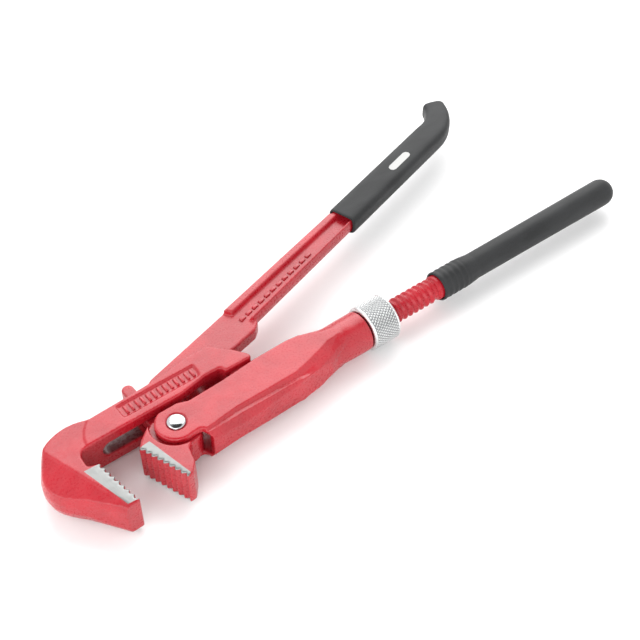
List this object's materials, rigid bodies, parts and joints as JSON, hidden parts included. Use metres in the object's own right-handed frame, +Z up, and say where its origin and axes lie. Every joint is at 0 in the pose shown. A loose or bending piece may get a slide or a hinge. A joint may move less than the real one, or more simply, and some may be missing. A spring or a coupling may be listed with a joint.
{
  "type": "pipe wrench",
  "caption": "Swedish-pattern pipe wrench: toothed hook jaw on a slotted shank with a hooked handle, lower jaw on a screw-adjusted housing, knurled nut, vinyl grips.",
  "frame": {"origin": "bottom centre of the bounding box with the tool lying flat on its nut", "axes": "+X along the spindle from the jaws toward the grips, +Y across toward the hooked handle, +Z up, square to the flat of the tool"},
  "size_m": [0.3222, 0.1288, 0.022],
  "materials": {
    "red_paint": "semi-gloss red enamel over forged steel; the alloy is not known",
    "zinc_plate": "bright zinc plate, diamond knurl",
    "chrome_rivet": "polished dome",
    "dark_vinyl": "dipped soft vinyl, satin",
    "spring_steel": "oiled hardened steel"
  },
  "bodies": {
    "hook_body": {"hook_jaw_handle": "red_paint", "hook_handle_sleeve": "dark_vinyl", "spindle_pivot_pin": "spring_steel"},
    "spindle_body": {"threaded_spindle": "red_paint", "spindle_grip_sleeve": "dark_vinyl"},
    "housing_body": {"jaw_housing": "red_paint", "jaw_rivet": "chrome_rivet", "nut_snap_ring": "spring_steel"},
    "lower_jaw_body": {"lower_jaw": "red_paint"},
    "nut_body": {"adjusting_nut": "zinc_plate"}
  },
  "joints": [
    {"name": "handle_squeeze", "type": "hinge", "parent": "hook_body", "child": "spindle_body", "pos_m": [-0.06095, -0.03839, 0.01085], "axis": [0, 0, 1], "range_deg": [-2.5, 6]},
    {"name": "housing_slide", "type": "slide", "parent": "spindle_body", "child": "housing_body", "axis": [1, 0, 0], "range_m": [-0.014, 0.022]},
    {"name": "jaw_pivot", "type": "hinge", "parent": "housing_body", "child": "lower_jaw_body", "pos_m": [-0.10195, -0.03839, 0.01085], "axis": [0, 0, 1], "range_deg": [-6.5, 3]},
    {"name": "nut_turn", "type": "hinge", "parent": "housing_body", "child": "nut_body", "pos_m": [-0.00265, -0.03839, 0.01085], "axis": [1, 0, 0], "range_deg": [-1535, 2410]}
  ],
  "couplings": [
    {"joint": "nut_turn", "follows": "housing_slide", "rad_per_m": 1904},
    {"joint": "jaw_pivot", "follows": "handle_squeeze", "ratio": -1}
  ]
}
